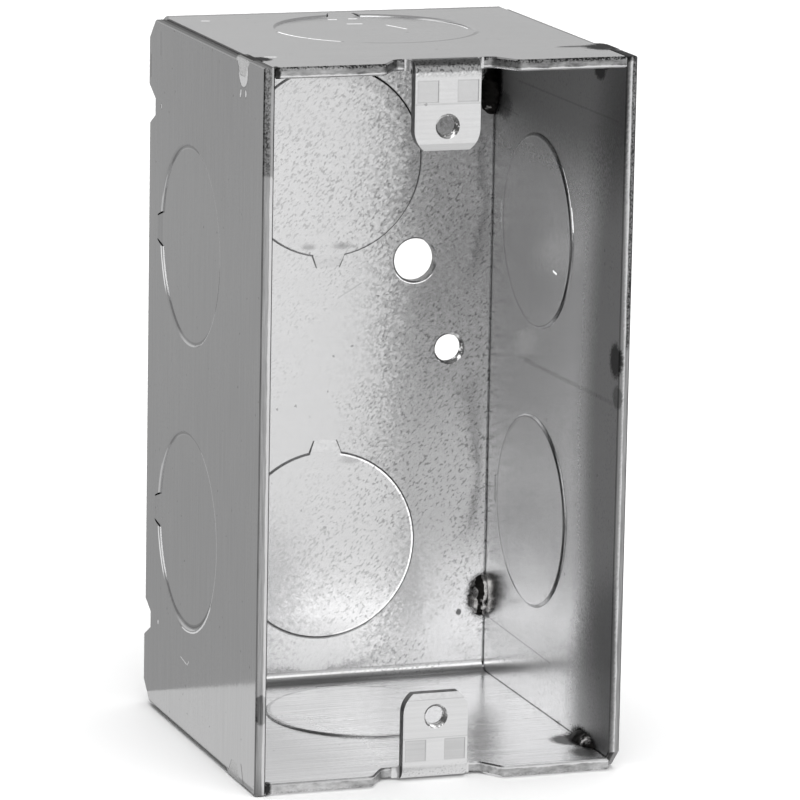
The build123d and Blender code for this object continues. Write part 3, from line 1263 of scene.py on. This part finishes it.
def tapped_threads(sizes: BoxSizes) -> list[TappedThread]:
    """The threads of the ears and of the ground hole, where the record's mounts place them.

    Args:
        sizes: The box's sizes.

    Returns:
        The three threads.
    """
    mounts = {mount["name"]: mount for mount in frame["record"]["mounts"]}
    ears = mounts["device_screws"]
    ground = mounts["ground_screw"]
    x, face, middle = (metres / MM for metres in ears["pos_m"])
    apart = ears["dims"]["spacing_y_mm"] / 2
    width = 2 * ears["dims"]["hole_r_mm"]
    ear_y = face + sizes.sheet / 2
    ground_place = tuple(metres / MM for metres in ground["pos_m"])
    return [
        TappedThread("upper_ear_thread", (x, ear_y, middle + apart), width, sizes.sheet),
        TappedThread("lower_ear_thread", (x, ear_y, middle - apart), width, sizes.sheet),
        TappedThread("ground_thread", ground_place, 2 * ground["dims"]["r_mm"], sizes.sheet),
    ]


@dataclass
class Sheets:
    """The three sheets of the box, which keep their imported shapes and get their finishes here."""

    sizes: BoxSizes
    low_end_burn: BurnAndShade = BurnAndShade((25.2, -17.0, 1.6), (2.2, 6.0, 2.2))
    high_end_burn: BurnAndShade = BurnAndShade((25.4, -18.0, 101.6), (3.4, 3.5, 1.2))

    def body(self) -> BodyFinish:
        """The folded strip: burnt round its welds on the right, scraped on top and along its knockouts' rims,
        with painted shade by the back's ties, inside the upper back knockout and on the bottom in front of
        the low right weld.

        Returns:
            The finish.
        """
        scraped = (-0.4, -3.0, 0.0)
        lifted = (-0.18, 0.0, 0.4)
        rim = self.sizes.knockout_radius
        depth = self.sizes.knockout_y
        back = self.sizes.inner_y
        side = self.sizes.inner_x
        top = self.sizes.height
        pushed = top - self.sizes.knockout_push
        hole = self.sizes.mounting_hole
        low = self.sizes.middle - self.sizes.back_knockout_pitch / 2
        high = self.sizes.middle + self.sizes.back_knockout_pitch / 2
        burns_and_shades = (
            BurnAndShade((25.0, 25.0, 13.0), (2.9, 2.6, 4.0)),
            BurnAndShade((25.2, 25.2, 90.5), (2.2, 2.2, 5.0)),
            # Painted shadow on the bottom, in front of the low right end weld.
            BurnAndShade((23.2, -22.9, 1.6), (2.6, 3.4, 1.0), 0.7, 0.4),
            self.low_end_burn,
            BurnAndShade((23.5, -16.0, 1.6), (3.2, 3.5, 1.0), 0.8),
            self.high_end_burn,
            BurnAndShade((21.8, -16.6, top), (3.5, 0.9, 1.0), 0.7),
            BurnAndShade((-25.0, -19.0, top), (1.8, 2.4, 1.0)),
            BurnAndShade((21.4, back, 10.6), (0.5, 0.4, 0.6), 0.7),
            BurnAndShade((-24.0, -14.0, 1.7), (32.0, 42.0, 0.9), 0.42, 0.2, 0.5),
            BurnAndShade((-25.2, -26.5, 100.7), (0.8, 1.2, 1.5), 0.95),
            BurnAndShade((-25.1, -26.5, 0.9), (0.8, 1.2, 1.4), 0.95),
            # Painted shade beside the back's ties.
            BurnAndShade((-3.1, 25.1, 66.9), (1.6, 0.6, 0.7), 0.3, 0.2),
            BurnAndShade((2.1, 25.1, 66.9), (2.2, 0.6, 0.7), 0.32, 0.2),
            BurnAndShade((4.0, 25.1, 34.9), (2.6, 0.6, 0.9), 0.22, 0.2),
        )
        marks = (
            Mark((5.6, back, 86.3), (8.3, back, 84.3), 0.16, 0.12),
            Mark((1.65, back, 59.1), (5.2, back, 61.2), 0.16, -0.15),
            Mark((-6.6, back, 15.7), (-6.4, back, 15.7), 0.3, -0.4),
            Mark((-3.5, back, 14.0), (-3.4, back, 14.0), 0.3, -0.4),
            Mark((side, back, 2.0), (side, back, 100.0), 0.13, -0.75),
            Mark((-24.5, -26.2, 1.6), (25.0, -26.2, 1.6), 0.14, -0.25),
            Mark((-2.9, 17.8, pushed), (-2.0, 17.7, pushed), 0.3, tilt=scraped),
            Mark((0.2, 18.0, pushed), (1.1, 17.9, pushed), 0.3, tilt=scraped),
            Mark((-1.7, 13.1, pushed), (0.2, 12.8, pushed), 0.3, tilt=scraped),
            Mark((3.4, 11.0, pushed), (4.9, 6.6, pushed), 0.2, tilt=scraped),
            Mark((-21.9, 18.1, top), (-21.0, 17.9, top), 0.25, tilt=scraped),
            Mark((-23.8, -17.3, top), (-22.4, -17.6, top), 0.25, tilt=scraped),
            Arc((0.0, depth, top), rim + 0.55, (-0.88, -0.47, 0.0), 28.0, 0.24, tilt=scraped),
            Arc((0.0, depth, pushed), rim - 0.5, (0.94, 0.34, 0.0), 30.0, 0.1, tilt=scraped),
            Arc((0.0, depth, top), rim + 0.55, (0.35, -0.95, 0.0), 50.0, 0.45, -0.35),
            Arc((0.0, back, low), rim - 0.35, (0.85, 0.0, -0.5), 60.0, 0.2, tilt=lifted),
            Arc((0.0, back, low), rim - 0.35, (0.6, 0.0, 0.8), 30.0, 0.2, tilt=lifted),
            Arc((0.0, depth, 1.9), rim - 0.4, (-0.6, 0.8, 0.0), 90.0, 0.5, -0.3),
            Arc((hole, back, self.sizes.middle + hole), 3.45, (-0.05, 0.0, -1.0), 58.0, 0.14, tilt=lifted),
            Arc((0.0, back, low), rim + 0.1, (-0.2, 0.0, -1.0), 50.0, 0.18, -0.4),
            # Painted shade inside the upper back knockout's right rim.
            Arc((0.0, back, high), rim - 1.1, (0.85, 0.0, 0.5), 80.0, 1.2, -0.16),
            Arc((0.0, back, high), rim, (0.85, 0.0, 0.5), 65.0, 0.22, -0.35),
        )
        return BodyFinish(
            "folded_zinc", Grain.ACROSS, self.sizes, streaks=0.26, flecks=0.26, gloss=0.22,
            burns_and_shades=burns_and_shades, marks=marks
        )

    def left_plate(self) -> PlateFinish:
        """The left plate: smooth outside, with dents where the top weld ran down, a few small marks and
        painted shade toward its top.

        Returns:
            The finish.
        """
        outer = -self.sizes.half_width
        dent = (0.0, -0.6, 0.27)
        rim = self.sizes.knockout_radius
        depth = self.sizes.knockout_y
        low = self.sizes.middle - self.sizes.side_knockout_pitch / 2
        high = self.sizes.middle + self.sizes.side_knockout_pitch / 2
        marks = (
            Mark((outer, -17.6, 101.4), (outer, -17.7, 99.7), 2.3, -0.14, tilt=dent),
            Mark((outer, -16.7, 97.0), (outer, -16.5, 96.3), 0.45, -0.1, tilt=dent),
            Mark((outer, -18.9, 97.0), (outer, -18.9, 96.7), 0.6, -0.1, tilt=dent),
            Mark((outer, -20.7, 2.8), (outer, -21.75, 0.5), 0.3, -0.5),
            Mark((outer, 20.8, 89.2), (outer, 20.8, 89.0), 0.45, -0.1, tilt=dent),
            Mark((outer, 19.9, 13.6), (outer, 19.9, 13.4), 0.45, -0.1, tilt=dent),
            Mark((-26.2, -self.sizes.half_depth, 13.6), (-26.2, -self.sizes.half_depth, 10.8), 0.9, -0.3),
            Arc((outer, depth, high), rim + 0.3, (0.0, -0.9, 0.4), 65.0, 0.08, -0.38, tilt=dent),
            Arc((outer, depth, high), rim + 0.3, (0.0, -0.8, -0.6), 40.0, 0.08, -0.3, tilt=dent),
            Arc((outer, depth, low), rim + 0.3, (0.0, -1.0, 0.1), 75.0, 0.1, -0.3, tilt=dent),
            Arc((outer, depth, low), rim + 0.5, (0.0, -0.4, -0.9), 40.0, 0.25, -0.15, tilt=dent),
            Arc((outer, depth, low), rim - 0.4, (0.0, -0.3, -0.95), 45.0, 0.3, -0.35),
            Mark((outer, 8.5, 11.1), (outer, 5.6, 10.7), 0.25, -0.34, tilt=dent),
            Mark((outer, 5.2, 10.7), (outer, 4.6, 11.3), 0.25, -0.34, tilt=dent),
            Mark((outer, 21.3, 99.7), (outer, 21.2, 96.4), 0.2, -0.25),
            Mark((outer, 26.1, 95.7), (outer, 26.1, 92.7), 0.3, -0.4),
            Mark((outer, 20.95, 89.1), (outer, 20.95, 89.0), 0.3, -0.4),
        )
        # Painted shade: the outside darker toward the top.
        burns_and_shades = (BurnAndShade((outer, 0.0, 112.0), (0.9, 60.0, 45.0), 0.12, 0.3),)
        return PlateFinish(
            "left_zinc", Grain.UPRIGHT, self.sizes, spangle=0.008, streaks=0.18, flecks=0.06, ripple=0.0003,
            gloss=0.1, line=0.25, rim=0.3, burns_and_shades=burns_and_shades, marks=marks, side=Side.LEFT
        )

    def right_plate(self) -> PlateFinish:
        """The right plate: burnt at its welds, darkened toward its top and front by painted shade, and
        scratched inside.

        Returns:
            The finish.
        """
        inner = self.sizes.inner_x
        back = self.sizes.inner_y
        top = self.sizes.height
        rim = self.sizes.knockout_radius
        glint = (0.0, -4.0, 1.7)
        low = (inner, self.sizes.knockout_y, self.sizes.middle - self.sizes.side_knockout_pitch / 2)
        high = (inner, self.sizes.knockout_y, self.sizes.middle + self.sizes.side_knockout_pitch / 2)
        burns_and_shades = (
            # Painted shade: darker toward the top, along the front and low at the front.
            BurnAndShade((inner, 0.0, 108.0), (0.9, 80.0, 34.0), 0.7, 0.55, 0.4),
            BurnAndShade((inner, -30.0, 50.0), (0.9, 22.0, 80.0), 0.67, 0.5, 0.4),
            BurnAndShade((inner, -30.0, 8.0), (0.9, 23.0, 24.0), 0.5, 0.6, 0.4),
            BurnAndShade((25.0, 25.0, 13.0), (1.9, 1.8, 3.9), 0.6),
            BurnAndShade((inner, 24.0, 10.3), (1.0, 1.4, 0.6), 0.6),
            BurnAndShade((inner, 24.8, 90.8), (1.6, 3.0, 5.2)),
            BurnAndShade((inner, 21.5, 87.5), (1.0, 4.0, 2.5), 0.5),
            BurnAndShade((inner, -25.6, 58.6), (1.0, 2.6, 3.0), 0.9),
            BurnAndShade((inner, -26.4, 53.5), (1.0, 1.8, 2.0), 0.5),
            self.low_end_burn,
            self.high_end_burn,
            BurnAndShade((25.8, -24.5, top), (1.8, 4.0, 1.2), 0.95),
            BurnAndShade((inner, -16.8, 98.2), (1.0, 2.6, 1.6), 0.9),
        )
        marks = (
            Mark((inner, 10.3, 51.7), (inner, -24.7, 52.4), 0.45, -0.16),
            Mark((inner, 15.5, 91.9), (inner, -24.5, 92.1), 0.2, -0.2),
            Mark((inner, 26.2, 87.3), (inner, 15.6, 86.9), 0.2, -0.2),
            Mark((inner, 23.9, 10.1), (inner, -2.9, 9.5), 0.18, -0.2),
            Mark((inner, -3.9, 1.0), (inner, -7.5, 1.9), 0.25, -0.3),
            Mark((inner, back, 2.0), (inner, back, 100.0), 0.12, -0.75),
            Mark((inner, 25.0, 1.6), (inner, -26.0, 1.6), 0.16, -0.6),
            Mark((25.1, -1.1, 66.9), (25.1, -2.4, 66.7), 0.2, tilt=glint),
            Arc(high, rim + 0.2, (0.0, -0.87, 0.5), 22.0, 0.14, tilt=glint),
            Arc(high, rim + 0.4, (0.0, -0.96, 0.27), 8.0, 0.24, tilt=glint),
            Arc(high, rim - 0.5, (0.0, 1.0, -0.1), 80.0, 0.4, -0.2),
            Arc(low, rim - 0.5, (0.0, 1.0, 0.0), 80.0, 0.4, -0.16),
        )
        return PlateFinish(
            "right_zinc", Grain.UPRIGHT, self.sizes, spangle=0.03, gloss=0.2, line=0.5, rim=0.36,
            burns_and_shades=burns_and_shades, marks=marks, side=Side.RIGHT, burnish=0.45, torn=0.4, gritty_above=60.0,
            gritty_dims=0.0, dish=0.12
        )

    def dress(self) -> None:
        """Put a finish on each sheet."""
        finishes = {
            "folded_body": self.body(),
            "left_side_plate": self.left_plate(),
            "right_side_plate": self.right_plate(),
        }
        for node, finish in finishes.items():
            materials = frame["nodes"][node].data.materials
            materials.clear()
            materials.append(finish.material())
            LOG.info("%s dressed with %s", node, finish.name)


@dataclass(frozen=True)
class SoftBox:
    """A lamp far away: a round patch of the surroundings that is brighter than the rest."""

    toward: Point
    core: float
    fade: float
    strength: float

    def glow(self, shading: Shading, direction: bpy.types.NodeSocket) -> Value:
        """The lamp's light by direction: full within the core angle, none past the fade angle.

        Args:
            shading: The world's tree.
            direction: The direction looked at.

        Returns:
            The light.
        """
        facing = shading.dot(direction, tuple(Vector(self.toward).normalized()))
        return facing.rise(cosine(self.fade), cosine(self.core)) * self.strength


@dataclass(frozen=True)
class Card:
    """A lit card that lies under the box: only reflections show it."""

    name: str
    low: Corner
    high: Corner
    light: float


@dataclass
class Studio:
    """The pale floor, the soft lights and the camera."""

    ambient: float = 0.31
    ceiling: float = 3.0
    overhead: float = 2.4
    overhead_spread: float = 60.0
    floor_level: float = -0.0002
    floor_reach: float = 4.0
    floor_tones: tuple[Colour, Colour] = ((0.93, 0.93, 0.93, 1.0), (0.95, 0.95, 0.95, 1.0))
    floor_patches: float = 3.0
    floor_rough: float = 0.9
    card_level: float = -0.0001
    camera_place: Point = (-0.26003, -0.75182, 0.21485)
    azimuth: float = 19.26
    elevation: float = 11.765
    roll: float = 1.077
    lens: float = 256.88
    sensor: float = 36.0
    cards: tuple[Card, ...] = (
        Card("front_card", (-0.025, -1.6), (1.2, -0.0238), 0.78),
        Card("side_card", (-0.07, -0.16), (-0.025, -0.0238), 0.36),
        Card("left_card", (-0.3, -0.1), (-0.028, 0.032), 0.54),
    )
    soft_boxes: tuple[SoftBox, ...] = (
        SoftBox((0.0, -0.85, 0.53), 26.0, 46.0, 1.28),
        SoftBox((0.0, 0.92, 0.38), 15.0, 40.0, 0.23),
        SoftBox((-0.965, 0.0, 0.19), 10.0, 19.0, 0.6),
    )
    shade: SoftBox = SoftBox((-0.33, -0.92, -0.2), 20.0, 60.0, 0.38)

    def flat(self, name: str, low: Corner, high: Corner, level: float) -> bpy.types.Object:
        """A level rectangle of the stage.

        Args:
            name: Its name.
            low: Its corner with the lowest X and Y.
            high: The opposite corner.
            level: Its height.

        Returns:
            The object.
        """
        corners = [(low[0], low[1]), (high[0], low[1]), (high[0], high[1]), (low[0], high[1])]
        points = np.array([(x, y, level) for x, y in corners])
        made = new_piece(name, points, [[0, 1, 2, 3]], bpy.data.materials.new(name))
        made.data.materials[0].use_nodes = True
        return made

    def floor(self) -> None:
        """A pale matt floor, which the camera sees and the metal doesn't mirror."""
        reach = self.floor_reach
        made = self.flat("floor", (-reach, -reach), (reach, reach), self.floor_level)
        made.visible_glossy = False
        shading = Shading(made.data.materials[0].node_tree)
        place = shading.node("ShaderNodeTexCoord", {}, {}).outputs["Object"]
        colour = shading.mix(shading.noise(place, self.floor_patches), *self.floor_tones)
        inputs = {"Base Color": colour, "Roughness": self.floor_rough}
        shader = shading.node("ShaderNodeBsdfPrincipled", {}, inputs)
        shading.node("ShaderNodeOutputMaterial", {}, {"Surface": shader.outputs["BSDF"]})

    def lay(self, card: Card) -> None:
        """Lay a card on the floor, seen by reflections only.

        Args:
            card: The card.
        """
        made = self.flat(card.name, card.low, card.high, self.card_level)
        made.visible_camera = False
        made.visible_diffuse = False
        made.visible_shadow = False
        shading = Shading(made.data.materials[0].node_tree)
        shader = shading.node("ShaderNodeEmission", {}, {"Strength": card.light})
        shading.node("ShaderNodeOutputMaterial", {}, {"Surface": shader.outputs["Emission"]})

    def surroundings(self) -> None:
        """Grey surroundings with soft lamps, dim on the side behind the camera's left."""
        world = bpy.data.worlds.new("studio")
        world.use_nodes = True
        bpy.context.scene.world = world
        shading = Shading(world.node_tree)
        direction = shading.node("ShaderNodeTexCoord", {}, {}).outputs["Generated"]
        light = self.ambient * (1.0 - self.shade.glow(shading, direction))
        for lamp in self.soft_boxes:
            light = light + lamp.glow(shading, direction)
        colour = shading.mix(light / self.ceiling, (0.0, 0.0, 0.0, 1.0), (1.0, 1.0, 1.0, 1.0))
        shader = shading.node("ShaderNodeBackground", {}, {"Color": colour, "Strength": self.ceiling})
        shading.node("ShaderNodeOutputWorld", {}, {"Surface": shader.outputs["Background"]})

    def overhead_lamp(self) -> None:
        """A wide lamp straight above, which lights the floor and isn't mirrored by the metal."""
        lamp = bpy.data.lights.new("overhead", "SUN")
        lamp.energy = self.overhead
        lamp.angle = math.radians(self.overhead_spread)
        made = bpy.data.objects.new("overhead", lamp)
        made.visible_glossy = False
        bpy.context.scene.collection.objects.link(made)

    def camera(self) -> None:
        """A long lens at the photograph's place, turned by azimuth, elevation and roll."""
        turn = math.radians(self.azimuth)
        dip = math.radians(self.elevation)
        roll = math.radians(self.roll)
        forward = Vector((math.sin(turn) * math.cos(dip), math.cos(turn) * math.cos(dip), -math.sin(dip)))
        level = Vector((math.cos(turn), -math.sin(turn), 0.0))
        right = level * math.cos(roll) + level.cross(forward) * math.sin(roll)
        up = right.cross(forward)
        lens = bpy.data.cameras.new("camera")
        lens.lens = self.lens
        lens.sensor_width = self.sensor
        made = bpy.data.objects.new("camera", lens)
        bpy.context.scene.collection.objects.link(made)
        turned = Matrix((right, up, -forward)).transposed().to_4x4()
        made.matrix_world = Matrix.Translation(self.camera_place) @ turned
        bpy.context.scene.camera = made

    def build(self) -> None:
        """Set up the whole stage."""
        self.floor()
        for card in self.cards:
            self.lay(card)
        self.surroundings()
        self.overhead_lamp()
        self.camera()
        bpy.context.scene.view_settings.view_transform = "Standard"


def main() -> None:
    """Build the box's finishes, its welds and threads, and the studio."""
    logging.basicConfig(level=logging.INFO)
    half_width, half_depth, height = (metres / MM for metres in CAD_BOX[1])
    sizes = BoxSizes(half_width, half_depth, height)
    Sheets(sizes).dress()
    LOG.info("built %s", CornerWelds(sizes).build().name)
    steel = ThreadFinish().material()
    for thread in tapped_threads(sizes):
        LOG.info("built %s", thread.build(steel).name)
    Studio().build()


if __name__ == "__main__":
    main()
